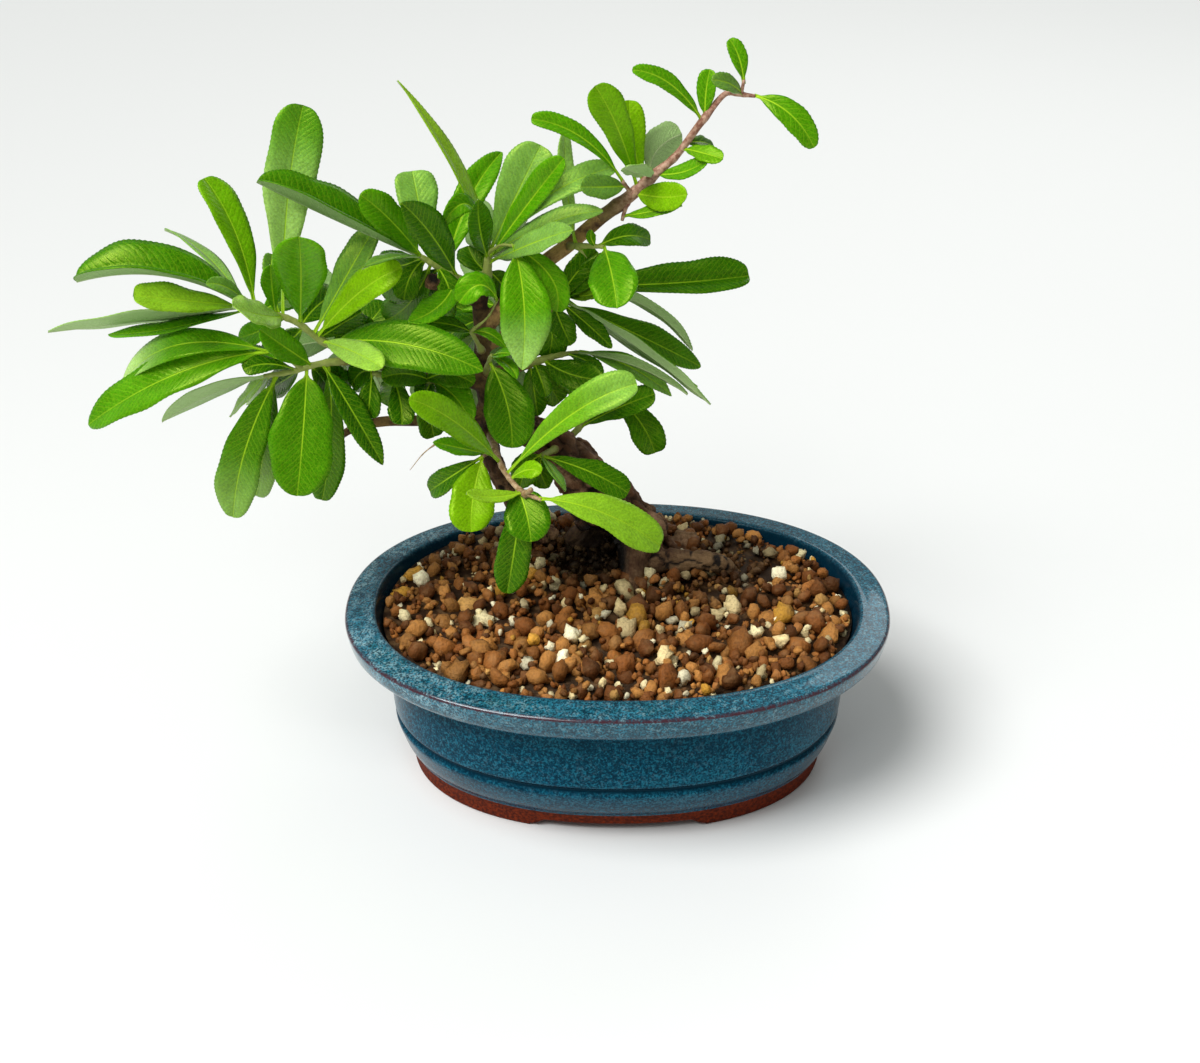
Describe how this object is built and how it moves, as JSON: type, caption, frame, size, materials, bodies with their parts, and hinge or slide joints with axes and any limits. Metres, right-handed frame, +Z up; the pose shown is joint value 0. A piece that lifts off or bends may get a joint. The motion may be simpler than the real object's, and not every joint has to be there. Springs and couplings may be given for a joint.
{
  "type": "potted firethorn bonsai",
  "caption": "Firethorn bonsai with a gnarled leaning trunk and long narrow leaves, in an oval blue-glazed pot filled with clay grains.",
  "frame": {"origin": "under the middle of the whole plant's box, on the surface the pot stands on", "axes": "+X along the pot's long axis, towards the side that the bare tip of the tree reaches; +Y to the back, away from the pictured side; +Z up"},
  "size_m": [0.239, 0.124, 0.2109],
  "materials": {
    "glaze": "mottled teal-blue gloss glaze, maroon where it thins at the edges, bare red-brown clay foot",
    "soil": "matte red-brown clay pellets with some pale pumice",
    "mesh": "matte black plastic mesh",
    "bark": "rough grey-brown bark, smoother olive-brown on the branches",
    "leaf": "glossy green upper face, paler matte underside"
  },
  "bodies": {
    "root": {"pot": "glaze", "soil": "soil", "screen_1": "mesh", "screen_2": "mesh", "trunk": "bark", "shoot_left_high": "leaf", "shoot_left_low": "leaf", "shoot_left_inner": "leaf", "shoot_upper_left": "leaf", "shoot_top": "leaf", "shoot_middle": "leaf", "shoot_middle_low": "leaf", "shoot_front": "leaf", "shoot_trunk": "leaf", "shoot_trunk_high": "leaf", "shoot_right_inner": "leaf", "shoot_right_low": "leaf", "shoot_right_hanging": "leaf", "shoot_right_tip": "leaf", "shoot_back_high": "leaf", "shoot_back_left": "leaf", "shoot_back_low": "leaf"}
  },
  "joints": []
}
